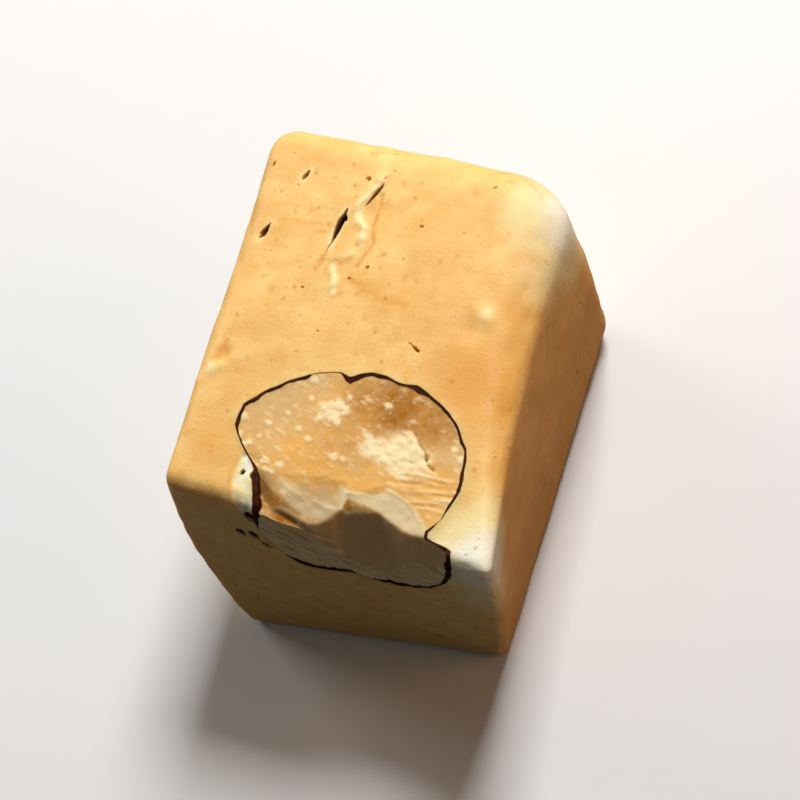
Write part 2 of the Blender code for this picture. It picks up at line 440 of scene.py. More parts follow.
def relief(points, normals):
    """How far the nougat's skin stands out from the smooth form, in millimetres."""
    lift = 0.16 * ripple(points, 8, 3)
    lift += 0.055 * ripple(points, 2.6, 4)
    # worn edges are less even than the faces
    edge = unit((0.97 - np.abs(normals).max(axis=1)) / 0.15)
    lift += edge * (0.12 * ripple(points, 1.7, 8) - 0.10 * unit(ripple(points, 3.1, 9) - 0.2))
    top = normals[:, 2] > 0.6
    # the knife's drag lines run nearly along X on the top, and level on the sides
    drag = ripple(points, (14, 0.9, 1.1), 6)
    lift += 0.012 * drag
    # the torn ridges are steep on their right and slope off to their left
    wander = 0.16 * ripple(points, 0.8, 7)
    broken = np.clip(0.7 + 0.9 * ripple(points, 1.1, 10), 0.12, 1)
    for line, height, left, right in RIDGES:
        side = beside_line(points, line) + wander
        width = np.where(side < 0, left, right)
        lift += np.where(top, height * broken * hill(side, width), 0)
    for line, depth, width in SCRATCHES:
        gap = distance_to_line(points, line) + 0.5 * wander
        lift -= np.where(top, depth * broken * hill(gap, width), 0)
    for x, y, radius, height in BUMPS:
        gap = np.hypot(points[:, 0] - x, points[:, 1] - y)
        lift += np.where(top, height * hill(gap, radius), 0)
    # the torn bay is lumpy and a little sunken
    bay = in_bay(points)
    lumps = 0.5 + 0.5 * ripple(points, (0.75, 0.85, 0.8), 11)
    lift += bay * (0.26 * lumps * lumps - 0.12)
    # the cut drew up a faint lip round the almond
    lift += LIP * hill(from_front_almond(points), 0.5)
    # the base stays flat where it rests
    return lift * unit(points[:, 2] / 1.5)


def push_out(piece, lift):
    """Moves the points along their normals, as with the draw brush."""
    move_points(piece, points_of(piece) + normals_of(piece) * lift[:, None])


def sculpt(piece):
    push_out(piece, relief(points_of(piece), normals_of(piece)))


def twin(piece, name):
    """A copy with a mesh of its own."""
    other = piece.copy()
    other.data = piece.data.copy()
    other.name = name
    bpy.context.scene.collection.objects.link(other)
    return other


smooth_form = twin(nougat, "smooth form")
sculpt(nougat)
print("sculpted", nougat.name)

# %% [markdown]
# ## Cutting with other pieces
# A boolean modifier cuts one closed piece with another. The tool is a piece like any other, and it
# is thrown away once the modifier is applied.

# %% Cut, and throw the tool away
def throw_away(piece):
    bpy.data.objects.remove(piece)


def cut(piece, tool, operation="DIFFERENCE", keep=False):
    step = piece.modifiers.new("cut", "BOOLEAN")
    step.operation = operation
    step.solver = "MANIFOLD"
    step.object = tool
    finish_modifier(piece, step.name)
    if not keep:
        throw_away(tool)
    return piece


def triangles(piece):
    return sum(len(face.vertices) - 2 for face in piece.data.polygons)

# %% [markdown]
# ## The cut kernel
# Inside its skin an almond is dense and slightly translucent. The blade smeared most of its face,
# tore out crumbs on the right and left short dashes across it. The kernel is carved from a second
# copy of the block, refined until a crumb of a quarter millimetre shows, and then crossed with
# the almond's form, so that its cut faces lie where the nougat's faces lie.

# %% Crumbs, dashes and grooves on the kernel
TORN_PATCH = (
    # x, y, radius
    (3.4, -10.3, 0.8), (4.8, -10.2, 1.1), (6.1, -9.6, 1.2), (7.2, -10.4, 1.4), (6.3, -11.4, 1.1),
    (5.3, -10.9, 1.0), (6.7, -8.9, 0.6), (2.9, -9.1, 0.4), (3.3, -9.6, 0.4),
)
CRUMB_CLUSTER = (
    (-1.5, -7.3, 0.5), (-0.8, -7.8, 0.7), (-0.3, -6.9, 0.55), (0.2, -7.1, 0.4), (-1.7, -8.1, 0.4),
    (0.4, -5.9, 0.25), (-0.2, -8.3, 0.35), (-0.9, -6.9, 0.35),
)
SINGLE_CRUMBS = (
    (3.95, -6.2, 0.30), (0.5, -11.4, 0.34), (1.4, -11.6, 0.22), (-2.1, -10.3, 0.24), (-3.3, -9.4, 0.24),
    (-6.1, -9.3, 0.26), (-8.4, -10.7, 0.30), (-7.8, -11.5, 0.26), (-8.5, -9.0, 0.34), (-7.3, -11.3, 0.24),
    (-5.4, -12.8, 0.32), (-4.0, -12.9, 0.30), (-3.1, -4.9, 0.34), (-4.6, -8.2, 0.18),
    (-6.6, -10.6, 0.2), (-2.9, -6.6, 0.18), (10.7, -9.2, 0.3), (11.6, -10.0, 0.3), (-3.0, -14.8, 0.3),
)
GROOVES = (8.0, -13.2, 3.9, 2.0)
PORE = (8.4, -10.3)
FISSURE = ((6.9, -8.4), (7.4, -9.1), (8.2, -9.9), (8.6, -10.9), (9.3, -11.3))
DASH_TURN = -23


def turned(points):
    """Places along and across the direction in which the knife dragged the kernel."""
    x, y, z = points.T
    return np.stack((*turn(x, y, -DASH_TURN), z), axis=1)


def discs(points, spots, soft=0.7):
    """1 inside any of the round spots, fading to 0 outside them. The edge is ragged."""
    drawn = turned(points)
    ragged = 0.34 * ripple(drawn, (0.9, 0.5, 0.6), 21) + 0.22 * ripple(drawn, (0.35, 0.2, 0.3), 22)
    best = np.zeros(len(points))
    for x, y, radius in spots:
        middle = turned(np.array(((x, y, 22.3),)))[0]
        along, across = drawn[:, 0] - middle[0], drawn[:, 1] - middle[1]
        gap = np.hypot(along / 1.25, across * 1.1) / radius + ragged / max(radius, 0.5)
        best = np.maximum(best, unit((1 - gap) / soft + 0.5))
    return best * (points[:, 2] > 20)


def dashes(points):
    """Short strokes across the kernel, all turned the same way."""
    stroke = ripple(turned(points), (0.9, 0.24, 3), 23)
    return unit((stroke - 0.28) / 0.34)


def grooves(points):
    """Torn fibres on the right of the kernel, running along X."""
    x, y, half_x, half_y = GROOVES
    there = np.hypot((points[:, 0] - x - 1.2) / half_x, (points[:, 1] - y) / half_y)
    mask = unit((1 - there) / 0.3) * (points[:, 2] > 20)
    return mask, ripple(points, (4.5, 0.42, 3), 24)


def kernel_relief(points, normals):
    lift = -0.07 + 0.05 * ripple(points, 3.0, 25) + 0.02 * ripple(points, 0.6, 26)
    lump = 0.5 + 0.5 * ripple(points, 0.75, 27)
    torn = discs(points, TORN_PATCH)
    grain = ripple(points, 0.28, 28)
    lift += torn * (0.20 * lump * lump - 0.03 + 0.06 * grain)
    lift += discs(points, CRUMB_CLUSTER) * (0.02 + 0.17 * lump * lump + 0.06 * grain)
    lift += discs(points, SINGLE_CRUMBS) * 0.06
    lift += 0.03 * dashes(points) * (points[:, 2] > 20)
    mask, fibre = grooves(points)
    lift += mask * (0.12 * fibre + 0.07 * ripple(points, (1.5, 0.3, 1), 34))
    pore = np.hypot(points[:, 0] - PORE[0], points[:, 1] - PORE[1])
    lift -= np.where(points[:, 2] > 20, 0.7 * hill(pore, 0.24), 0)
    crack = distance_to_line(points, FISSURE) + 0.06 * ripple(points, 0.4, 29)
    lift -= np.where(points[:, 2] > 20, 0.26 * hill(crack, 0.13), 0)
    # on the front face the blade left level streaks
    streak = ripple(points, (3.5, 2, 0.35), 30)
    lift += np.where(normals[:, 1] < -0.6, 0.07 * streak, 0)
    return lift


def near_front_almond(points):
    return from_front_almond(points) < 0.4


kernel = twin(nougat, "almond_front_kernel")
refine(kernel, near_front_almond, cuts=2)
push_out(kernel, kernel_relief(points_of(kernel), normals_of(kernel)))

# %% [markdown]
# The skin is a thin shell between two spheres of the same form. Its thickness changes along the
# outline: the blade tore it off in one place at the back, pushed it into a thick dark fold beside
# that gap, and left it faint along the bottom of the front face.

# %% Skin thickness round the outline
SKIN_ON_TOP = (
    # angle from the right in degrees, thickness in mm
    (0, 0.42), (5, 0.46), (8, 0.50), (12, 0.40), (16, 0.14), (20, 0.16), (26, 0.36), (34, 0.38), (42, 0.24),
    (60, 0.20), (70, 0.24), (76, 0.42), (80, 0.13), (86, 0.18), (90, 0.30), (94, 0.26), (98, 0.50),
    (102, 0.52), (104.0, 0.30), (105.2, -0.15), (114.6, -0.15), (115.5, 0.24), (120, 0.26), (132, 0.22),
    (140, 0.40), (146, 0.34), (150, 0.52), (156, 0.62), (180, 0.62),
)
SKIN_ON_FRONT = (
    (0, 0.42), (11, 0.58), (19, 0.50), (26, 0.36), (38, 0.16), (46, 0.15), (55, 0.24), (62, 0.34),
    (74, 0.38), (78, 0.10), (82, -0.03), (88, -0.10), (92, 0.02), (96, 0.22), (100, 0.36), (115, 0.44),
    (128, 0.36), (133, 0.10), (137, -0.04), (158, -0.04), (163, 0.20), (170, 0.50), (180, 0.62),
)


def skin_thickness(angle, around, ray):
    share = np.where(ray[:, 1] < 0, 0, np.cos(around) ** 2)
    depth = read_off(SKIN_ON_TOP, angle) * share + read_off(SKIN_ON_FRONT, angle) * (1 - share)
    return depth * (1 + 0.55 * ripple(ray * 12, 0.9, 31) + 0.22 * ripple(ray * 12, 0.4, 32))


FIT = 0.02
flesh = front_almond("flesh", lambda *place: -np.maximum(skin_thickness(*place), 0) - FIT)
cut(kernel, flesh, "INTERSECT")

skin = front_almond("almond_front_skin", lambda *place: 0)
hollow = front_almond("hollow", lambda *place: -skin_thickness(*place))
cut(skin, hollow)
skin_face = twin(nougat, "skin face")
refine(skin_face, near_front_almond)
push_out(skin_face, -0.03 + 0.07 * ripple(points_of(skin_face), 0.5, 33))
cut(skin, skin_face, "INTERSECT")
print("kernel", triangles(kernel), "and skin", triangles(skin), "triangles")

# %% [markdown]
# The front edge of the kernel broke away in flakes, as brittle nuts do. They left bright, nearly
# level facets, a brown hollow between them and a steep break below. One tool makes them all: a
# plane is subdivided, extruded up into a slab, and its underside is sculpted to the broken faces,
# so that it cuts nowhere else.

# %% The broken edge of the kernel
FACETS = {
    # the line behind which the kernel stays whole, and the slope in front of it in degrees
    "left face": (((-9.0, -12.4), (-5.2, -13.5), (-0.9, -13.9), (0.3, -13.4), (2.1, -14.0), (2.6, -16.0),
                   (3.3, -21.0)), 16),
    "left fall": (((-9.0, -12.0), (-5.6, -13.5), (-4.5, -14.1), (-3.9, -14.6), (-3.1, -15.2), (-2.2, -15.7),
                   (-1.3, -16.2), (-0.3, -17.1), (0.5, -19.0), (1.0, -23.0)), 28),
    "hollow": (((1.8, -21.0), (2.2, -17.0), (2.4, -14.7), (2.7, -14.6), (3.1, -14.8), (3.8, -14.95),
                (4.8, -15.15), (5.7, -15.6), (6.5, -17.5), (7.5, -21.0)), 34),
    "ledge": (((0.9, -17.0), (1.6, -13.6), (2.8, -14.1), (3.9, -14.2), (5.0, -14.1), (6.0, -13.6),
               (6.8, -13.9), (7.7, -14.3), (8.6, -14.9), (9.4, -15.7), (10.0, -16.4), (12.0, -19.0)), 10),
    "break": (((-8.5, -17.8), (-5.2, -16.5), (-4.1, -16.2), (-3.2, -16.1), (-2.2, -16.3), (-1.2, -16.55),
               (-0.3, -16.7), (0.6, -16.5), (1.45, -16.2), (1.9, -15.8), (2.6, -15.6), (4.0, -15.5),
               (5.6, -15.4), (6.4, -15.8), (7.3, -16.2), (8.1, -16.55), (9.0, -16.85), (9.9, -17.0),
               (10.8, -17.2), (12.0, -17.6), (14.0, -18.2)), 60),
}
BRIGHT_LINES = (
    # edges and ridges of the broken faces that catch the light, and their width in mm
    (((-3.6, -14.2), (-2.8, -14.6), (-1.8, -15.1)), 0.26), (((-5.3, -13.3), (-4.5, -13.6)), 0.20),
    (((-0.3, -15.4), (0.7, -15.7), (1.5, -15.8)), 0.20), (((2.4, -14.4), (3.2, -14.3), (4.0, -14.3)), 0.12),
    (((5.9, -13.6), (6.8, -13.9), (7.7, -14.3), (8.6, -14.9), (9.4, -15.7), (10.0, -16.3)), 0.15),
)
BRIGHT_LIFT = 0.05
LINE_BLUR = 0.22
STEEPEN = 0.012
CREASE = 0.3
SOFT_CREASE = 0.9
LEFT_DEPTH = ((-5.2, 0.9), (-1.5, 1.4), (0.2, 2.0), (1.8, 9.0))
FLAKE_AREA = ((-7.0, 12.4), (-21.0, -12.6))
FLAKE_STEPS = (150, 70)
SKIN_STANDS = (-3.2, 10.2)
ABOVE_BLOCK = 26


def cut_face_height(points):
    """The height of the kernel's cut face above the base, near the front edge."""
    return 22.1 + 0.055 * (points[:, 1] + 13.6) - 0.012 * (points[:, 0] - 2)


def ahead_of(points, line):
    """How far in front of a line each point lies, with the line's corners softened."""
    fine = np.arange(-12, 16, 0.05)
    line_y = read_off(line, fine)
    weights = np.exp(-(np.arange(-1, 1.01, 0.05) / LINE_BLUR) ** 2)
    padded = np.pad(line_y, len(weights) // 2, mode="edge")
    line_y = np.convolve(padded, weights / weights.sum(), mode="valid")
    return np.interp(points[:, 0], fine, line_y) - points[:, 1]


def soft_minimum(first, second, softness):
    """The smaller of two heights, with the crease between them rounded."""
    gap = unit(np.abs(first - second) / softness)
    return np.minimum(first, second) - softness / 4 * (1 - gap) ** 2


def broken_height(points):
    whole = cut_face_height(points)
    height = whole + 0.5
    for number, (name, (line, slope)) in enumerate(FACETS.items()):
        ahead = ahead_of(points, line) + 0.16 * ripple(points, 2.2, 43 + number)
        drop = math.tan(math.radians(slope)) * ahead
        if name == "break":
            # the steep break curves down until it meets the front face
            drop = drop + STEEPEN * np.clip(ahead, 0, 4) ** 4
        height = soft_minimum(height, whole - drop, SOFT_CREASE if name == "left face" else CREASE)
    # at the left end only a shallow flake came off, so the front face starts higher there
    height = np.maximum(height, whole - read_off(LEFT_DEPTH, points[:, 0]))
    for line, width in BRIGHT_LINES:
        height = height + BRIGHT_LIFT * hill(distance_to_line(points, line), width)
    bowl = 0.12 * ripple(points, 1.9, 41) + 0.035 * ripple(points, 0.6, 42)
    return height + bowl


def flake_tool():
    (left, right), (front, back) = FLAKE_AREA
    along, deep = FLAKE_STEPS
    tool = add(bpy.ops.mesh.primitive_grid_add, "flakes", x_subdivisions=along, y_subdivisions=deep, size=2)
    edit_all()
    bpy.ops.mesh.extrude_region_move(TRANSFORM_OT_translate={"value": (0, 0, 2)})
    bpy.ops.mesh.select_all(action="SELECT")
    bpy.ops.mesh.normals_make_consistent(inside=False)
    bpy.ops.object.mode_set(mode="OBJECT")
    points = points_of(tool) * MM
    top = points[:, 2] > 1
    points[:, 0] = left + (points[:, 0] + 1) / 2 * (right - left)
    points[:, 1] = front + (points[:, 1] + 1) / 2 * (back - front)
    points[:, 2] = np.where(top, ABOVE_BLOCK, broken_height(points))
    move_points(tool, points)
    return tool


flakes = flake_tool()
cut(kernel, flakes, keep=True)
# at both ends the skin stands up where the kernel broke away beside it
points = points_of(flakes)
standing = (points[:, 0] < SKIN_STANDS[0]) | (points[:, 0] > SKIN_STANDS[1])
points[:, 2] = np.where(standing, np.maximum(points[:, 2], 24), points[:, 2])
move_points(flakes, points)
cut(skin, flakes)

# %% [markdown]
# ## Hollows in the nougat
# The nougat was whipped, so it holds air. The knife opened a slit, a crack and some pits. Each is
# cut with a sphere that is stretched along the hollow, roughened, and sunk into the face.

# %% The hollows and their tools
HOLLOWS_ON_TOP = {
    # x, y, length, width, depth in mm, turn in degrees, and how much one end is wider
    "slit": (-5.12, 9.5, 3.3, 0.62, 2.4, 83, 0.55),
    "slit_spur": (-4.85, 11.1, 0.9, 0.30, 0.9, 80, 0.0),
    "slit_side": (-4.75, 10.6, 0.8, 0.45, 0.9, 110, 0.0),
    "slit_tail": (-5.45, 7.5, 1.0, 0.16, 0.35, 78, 0.3),
    "crack": (-2.72, 13.1, 2.5, 0.34, 0.9, 64, 0.3),
    "pit_back": (-9.6, 14.3, 1.3, 0.42, 0.6, 64, 0.0),
    "pit_left": (-11.8, 8.6, 1.8, 0.60, 0.8, 67, -0.6),
    "pit_round": (-3.75, 14.65, 0.62, 0.5, 0.45, 0, 0.0),
    "nick": (5.0, -0.8, 1.1, 0.38, 0.4, -35, 0.3),
    "nick_small": (4.4, -0.4, 0.5, 0.24, 0.2, -20, 0.0),
    "dot_back": (2.4, 10.6, 0.42, 0.30, 0.3, 0, 0.0),
    "dot_right": (7.8, 15.3, 0.45, 0.26, 0.3, 30, 0.0),
    "dot_left": (-1.35, 6.1, 0.42, 0.34, 0.3, 70, 0.0),
    "dot_middle": (-2.7, 4.85, 0.36, 0.26, 0.25, 0, 0.0),
    "dot_far_left": (-6.7, 3.5, 0.36, 0.26, 0.25, 0, 0.0),
    "dot_front": (-4.1, -0.4, 0.3, 0.24, 0.2, 0, 0.0),
    "dot_corner": (-13.1, 15.2, 0.7, 0.35, 0.3, 70, 0.0),
    "bay_hole_left": (-7.1, -14.0, 0.60, 0.50, 1.0, 60, 0.0),
    "bay_hole_right": (-6.1, -14.2, 0.80, 0.50, 1.1, 100, 0.0),
}
HOLLOWS_ON_FRONT = {
    # x, z, length, width, depth, turn, wider end
    "pit_left": (-7.7, 17.2, 1.05, 1.0, 0.8, -35, 0.3),
    "pit_right": (-6.4, 17.4, 1.05, 1.35, 1.0, 20, 0.0),
    "pit_low": (-5.5, 16.3, 1.35, 0.60, 0.7, -35, 0.0),
    "bay_end": (-5.9, 20.3, 1.4, 1.5, 0.9, -25, 0.0),
    "mark": (11.7, 7.5, 0.6, 0.35, 0.3, 50, 0.0),
    "pore_left": (-9.6, 5.2, 0.5, 0.35, 0.3, 10, 0.0),
    "pore_middle": (1.8, 8.4, 0.45, 0.3, 0.3, 70, 0.0),
}
HOLLOWS_ON_BACK = {
    # the faces that the photograph hides have the same few pits
    "pit_high": (6.6, 15.8, 1.5, 0.50, 0.7, 24, 0.4),
    "pit_small": (8.3, 14.6, 0.6, 0.40, 0.4, -10, 0.0),
    "slit_low": (7.5, 5.4, 2.1, 0.34, 0.9, 12, 0.5),
    "pore_left": (-9.9, 17.3, 0.5, 0.4, 0.3, 0, 0.0),
    "pore_high": (0.6, 19.0, 0.45, 0.3, 0.3, 40, 0.0),
}
HOLLOWS_ON_LEFT = {
    "pit_back": (12.6, 15.2, 1.6, 0.55, 0.8, 62, 0.5),
    "pit_middle": (3.1, 7.0, 1.1, 0.45, 0.6, 40, 0.0),
    "slit": (-5.4, 14.0, 2.6, 0.42, 1.2, -18, 0.5),
    "pore_front": (-11.5, 8.8, 0.6, 0.4, 0.4, 0, 0.0),
    "pore_low": (8.8, 4.1, 0.5, 0.36, 0.3, 70, 0.0),
    "pore_high": (-1.2, 18.6, 0.5, 0.3, 0.3, 20, 0.0),
}
HOLLOWS_ON_RIGHT = {
    "pit_low": (6.4, 6.2, 1.3, 0.45, 0.6, 34, 0.4),
    "pore_front": (-9.5, 12.0, 0.6, 0.35, 0.4, 10, 0.0),
    "pore_back": (10.8, 11.6, 0.5, 0.35, 0.3, 80, 0.0),
    "pore_low": (-3.4, 4.0, 0.5, 0.32, 0.3, 50, 0.0),
}
SUNK = 0.12


def lens(name, middle, half_sizes, degrees, facing, seed, taper=0.0):
    """A stretched, roughened sphere that lies in the face on the named side."""
    fine = 5 if max(half_sizes) > 0.8 else 4
    piece = add(bpy.ops.mesh.primitive_ico_sphere_add, name, subdivisions=fine, radius=1)
    ball = points_of(piece) * MM
    ball = ball * (1 + 0.22 * ripple(ball, 0.55, seed) + 0.10 * ripple(ball, 0.22, seed + 1))[:, None]
    points = ball * np.array(half_sizes)
    points[:, 1] *= 1 + taper * ball[:, 0]
    if facing in ("front", "back"):
        # swapping Y and Z below turns the form inside out, and this turns it back
        points[:, 0] *= -1
    x, y, z = points.T
    x, y = turn(x, y, degrees)
    lying = {"top": (x, y, z), "front": (x, z, y), "back": (x, z, y)}.get(facing, (z, x, y))
    move_points(piece, np.stack(lying, axis=1) + np.array(middle))
    return piece


form_tree = BVHTree.FromObject(smooth_form, bpy.context.evaluated_depsgraph_get())


def on_face(facing, first, second):
    """The point of a face at two of its coordinates: x and y on the top, else level and z."""
    start, inward = {
        "top": ((first, second, 100), (0, 0, -1)),
        "front": ((first, -100, second), (0, 1, 0)),
        "back": ((first, 100, second), (0, -1, 0)),
        "left": ((-100, first, second), (1, 0, 0)),
        "right": ((100, first, second), (-1, 0, 0)),
    }[facing]
    return np.array(form_tree.ray_cast(Vector(start) * MM, Vector(inward))[0]) / MM


cut(nougat, front_almond("pocket", lambda *place: FIT))
all_hollows = {"top": HOLLOWS_ON_TOP, "front": HOLLOWS_ON_FRONT, "back": HOLLOWS_ON_BACK,
               "left": HOLLOWS_ON_LEFT, "right": HOLLOWS_ON_RIGHT}
seed = 50
for facing, hollows in all_hollows.items():
    for name, (first, second, length, width, depth, degrees, taper) in hollows.items():
        middle = on_face(facing, first, second)
        if facing == "top":
            middle = middle + np.array((0, 0, SUNK * width))
        cut(nougat, lens(name, middle, (length / 2, width / 2, depth), degrees, facing, seed, taper))
        seed += 2
print("nougat", triangles(nougat), "triangles")

# %% [markdown]
# ## The almond at the back
# A second almond lies under the back face, and only a thin slice of it was cut. It is made as the
# front one is: the skin is a shell, the kernel fills it, and the block's form cuts both.

# %% Kernel, skin and pocket of the back almond
BACK_SKIN = 0.3


def near_back_almond(points):
    gap = np.linalg.norm((points - BACK_ALMOND_AT) / (BACK_ALMOND_HALF + 0.5), axis=1)
    return (gap < 1.25) & (points[:, 1] > 10)


def back_skin_depth(ray):
    """The skin is thick on the right and thin in two places."""
    depth = BACK_SKIN * (1 + 0.55 * ripple(ray, 0.5, 63) + 0.35 * ripple(ray, 0.16, 64))
    return np.maximum(depth * (1 + 0.5 * ray[:, 0]), 0.04)


def smeared(points):
    """Where the blade smeared and tore the back kernel."""
    stroke = ripple(points, (0.9, 2.0, 0.35), 65)
    return unit((ripple(points, 1.5, 66) - 0.05) / 0.25) * unit(0.5 + stroke)


block = twin(smooth_form, "back block")
sculpt(block)
refine(block, near_back_almond, cuts=2)
hollow = back_almond("hollow", lambda ray: -back_skin_depth(ray))
back_skin = cut(back_almond("almond_back_skin", lambda ray: np.zeros(len(ray))), hollow)
back_kernel = back_almond("almond_back_kernel", lambda ray: -back_skin_depth(ray) - FIT)
points = points_of(block)
lift = smeared(points) * (0.05 + 0.05 * ripple(points, 0.35, 62))
push_out(block, lift - 0.06 + 0.06 * ripple(points, 1.6, 61))
cut(back_skin, block, "INTERSECT", keep=True)
cut(back_kernel, block, "INTERSECT")
cut(nougat, back_almond("pocket", lambda ray: np.full(len(ray), FIT)))
print("back kernel", triangles(back_kernel), "and skin", triangles(back_skin), "triangles")

# %% [markdown]
# ## Scraps of skin
# The blade dragged scraps of the dark skin along. They stick in the pits of the front face and
# beside them.

# %% The scraps
SCRAPS = (
    # x, z, half length, half width, and turn in degrees
    (-7.7, 17.2, 0.53, 0.50, -35), (-6.4, 17.4, 0.53, 0.68, 20), (-5.5, 16.3, 0.68, 0.30, -35),
    (-5.9, 20.3, 0.70, 0.74, -25), (-5.2, 20.1, 0.50, 0.40, 40),
)
SCRAP_DEPTH = 0.27
SCRAP_HALF_THICKNESS = 0.32
SMOOTH_BELOW = math.radians(40)
scraps = []
for number, (x, z, a, b, degrees) in enumerate(SCRAPS):
    middle = on_face("front", x, z) + np.array((0, SCRAP_DEPTH, 0))
    half_sizes = (a, b, SCRAP_HALF_THICKNESS)
    scraps.append(lens("scrap", middle, half_sizes, degrees, "front", 130 + 2 * number))


def join(pieces, name):
    take(pieces[0])
    for piece in pieces:
        piece.select_set(True)
    bpy.ops.object.join()
    pieces[0].name = name
    return pieces[0]


def place_in_mesh(piece):
    """The finished piece's object stands at the origin, unturned and unscaled."""
    take(piece)
    bpy.ops.object.transform_apply(location=True, rotation=True, scale=True)


scraps = join(scraps, "skin_scraps")
throw_away(smooth_form)

pieces = [nougat, kernel, skin, back_kernel, back_skin, scraps]
for piece in pieces:
    place_in_mesh(piece)
    bpy.ops.object.shade_smooth_by_angle(angle=SMOOTH_BELOW)
    print(piece.name, triangles(piece), "triangles")

# %% [markdown]
# ## Painting masks on the pieces
# Some colours belong to a place: one patch is more golden, the torn nut is whiter. Others are painted
# light and shade: the right edges and torn ridges are painted paler as painted highlight, the right
# face is painted golden as painted warm bounce light, and the hollows and the kernel's broken slopes
# are painted darker as painted shade. Each mask is worked out for every point of the finished mesh
# and kept as an attribute, as a vertex paint would be, and the materials read it by its name.

# %% Where the nougat is pale, golden or in a hollow, with painted highlight, bounce light and shade
RIM = 0.35
LEFT_GOLD = 0.50
RIGHT_BOUNCE_GOLD = 0.42
PALE_AND_HIGHLIGHT_SPOTS = (
    # x, y, z, radius in mm, strength
    # the first five are painted highlight on the back right rounding and the front right corner; the last
    # three are pale bumps
    (15.8, 15.0, 20.3, 7.0, 1.0),
    (15.8, 9.0, 21.5, 4.5, 0.7),
    (15.5, -18.5, 20.5, 5.5, 1.0),
    (14.5, -19.0, 15.0, 4.0, 0.5),
    (15.5, -14.0, 22.0, 3.0, 0.5),
    (10.2, 3.1, 22.8, 1.0, 0.4),
    (-12.5, -5.0, 22.5, 0.8, 0.5),
    (-10.4, -3.5, 22.5, 1.2, 0.2),
)
GOLDEN_SPOTS = (
    (10.8, -3.0, 22.5, 5.5, 0.8),
    (13.2, 2.0, 22.5, 4.0, 0.5),
    (6.0, 3.0, 22.5, 5.0, 0.3),
    (1.4, 4.0, 22.6, 2.4, 0.3),
    (-2.2, 11.9, 22.9, 0.9, 0.6),
    (9.2, 2.0, 22.5, 1.2, 0.5),
    (-11.9, -3.6, 22.5, 0.7, 0.6),
    (-10.5, -12.0, 22.3, 2.5, 0.3),
)
PALE_AND_HIGHLIGHT_LINES = (
    # line, width in mm, strength
    # torn ridges and the rims of the slit and two pits: partly paler torn nougat, partly painted highlight
    (LONG_RIDGE, 0.35, 0.55), (SHORT_RIDGE, 0.32, 0.55), (SLIT[:3], 0.55, 0.40), (SOFT_RIDGE, 0.6, 0.25),
    (((-12.3, 7.6), (-11.4, 9.4)), 0.5, 0.35), (((-9.9, 13.7), (-9.3, 14.8)), 0.45, 0.35),
)
GOLDEN_LINES = (
    (FLAP_EDGE, 0.22, 0.7), (SMEAR, 0.42, 0.8), (HOOK, 0.3, 0.8), (SCRATCH_BACK, 0.15, 0.45),
    (SCRATCH_FRONT, 0.15, 0.45), (((-5.5, 7.4), (-5.9, 5.4)), 0.25, 0.6),
    # painted shadow: a curved line in front of the soft ridge's end
    (((-3.1, 6.9), (-3.6, 6.2), (-4.5, 6.1)), 0.25, 0.5),
    # painted shade: a line along the bay's left border
    (((-7.9, -12.9), (-8.1, -14.2), (-7.95, -15.4)), 0.25, 0.5),
)


def near_lines(points, lines):
    """A soft, ragged mask along lines in the top face."""
    best = np.zeros(len(points))
    ragged = 0.5 * ripple(points, 0.6, 73)
    for line, width, strength in lines:
        gap = distance_to_line(points, line) / width + ragged
        best = np.maximum(best, strength * hill(np.maximum(gap, 0), 1))
    return best * (points[:, 2] > 21)


def near_spots(points, spots):
    best = np.zeros(len(points))
    uneven = 0.55 * ripple(points, 2.4, 71) + 0.30 * ripple(points, 0.8, 72)
    for x, y, z, radius, strength in spots:
        gap = (np.linalg.norm(points - np.array((x, y, z)), axis=1) + uneven) / radius
        best = np.maximum(best, strength * unit(1.35 - 1.1 * gap))
    return best


def paint(piece, name, values):
    mask = piece.data.attributes.new(name, "FLOAT", "POINT")
    mask.data.foreach_set("value", unit(values).astype(np.float32))


def below_form(points):
    """How deep each point lies under the block's faces in mm, and which way the face there looks."""
    depths, facing = [], []
    for spot in points * MM:
        near, normal, _, gap = form_tree.find_nearest(Vector(spot))
        depths.append(gap / MM if (Vector(spot) - near).dot(normal) < 0 else 0)
        facing.append(normal)
    return np.array(depths), np.array(facing)


def beside_almond(points):
    """A pale, uneven rim that the blade drew up just outside the almond."""
    gap = from_front_almond(points)
    rim = hill(gap - 0.2, 0.18) * (points[:, 2] > 20)
    return gap, RIM * rim * unit(0.55 + ripple(points, 1.4, 74))


points = points_of(nougat)
depth, facing = below_form(points)
almond_gap, rim = beside_almond(points)
pale = np.maximum(near_spots(points, PALE_AND_HIGHLIGHT_SPOTS), near_lines(points, PALE_AND_HIGHLIGHT_LINES))
whipped = in_bay(points) * unit(0.66 + 0.45 * ripple(points, 0.8, 76))
paint(nougat, "pale", np.maximum.reduce((pale, whipped, rim)))
left_edge = LEFT_GOLD * unit(-facing[:, 0] * 2.2) * unit(0.5 + 0.5 * ripple(points, 3.0, 75))
# painted warm bounce light: the right face is painted golden, as warm light thrown from beside it would
# colour it
warm_bounce_right = RIGHT_BOUNCE_GOLD * unit(facing[:, 0] * 2 - 0.8)
golden = np.maximum(near_spots(points, GOLDEN_SPOTS), near_lines(points, GOLDEN_LINES))
paint(nougat, "golden", np.maximum.reduce((golden, left_edge, warm_bounce_right)))
in_pocket = unit(1 - np.abs(almond_gap) / 0.3)
# painted shade: the nougat darkens the deeper a point lies below the block's faces, in the hollows
paint(nougat, "deep", unit((depth - 0.16) / 0.95) * (1 - in_pocket))

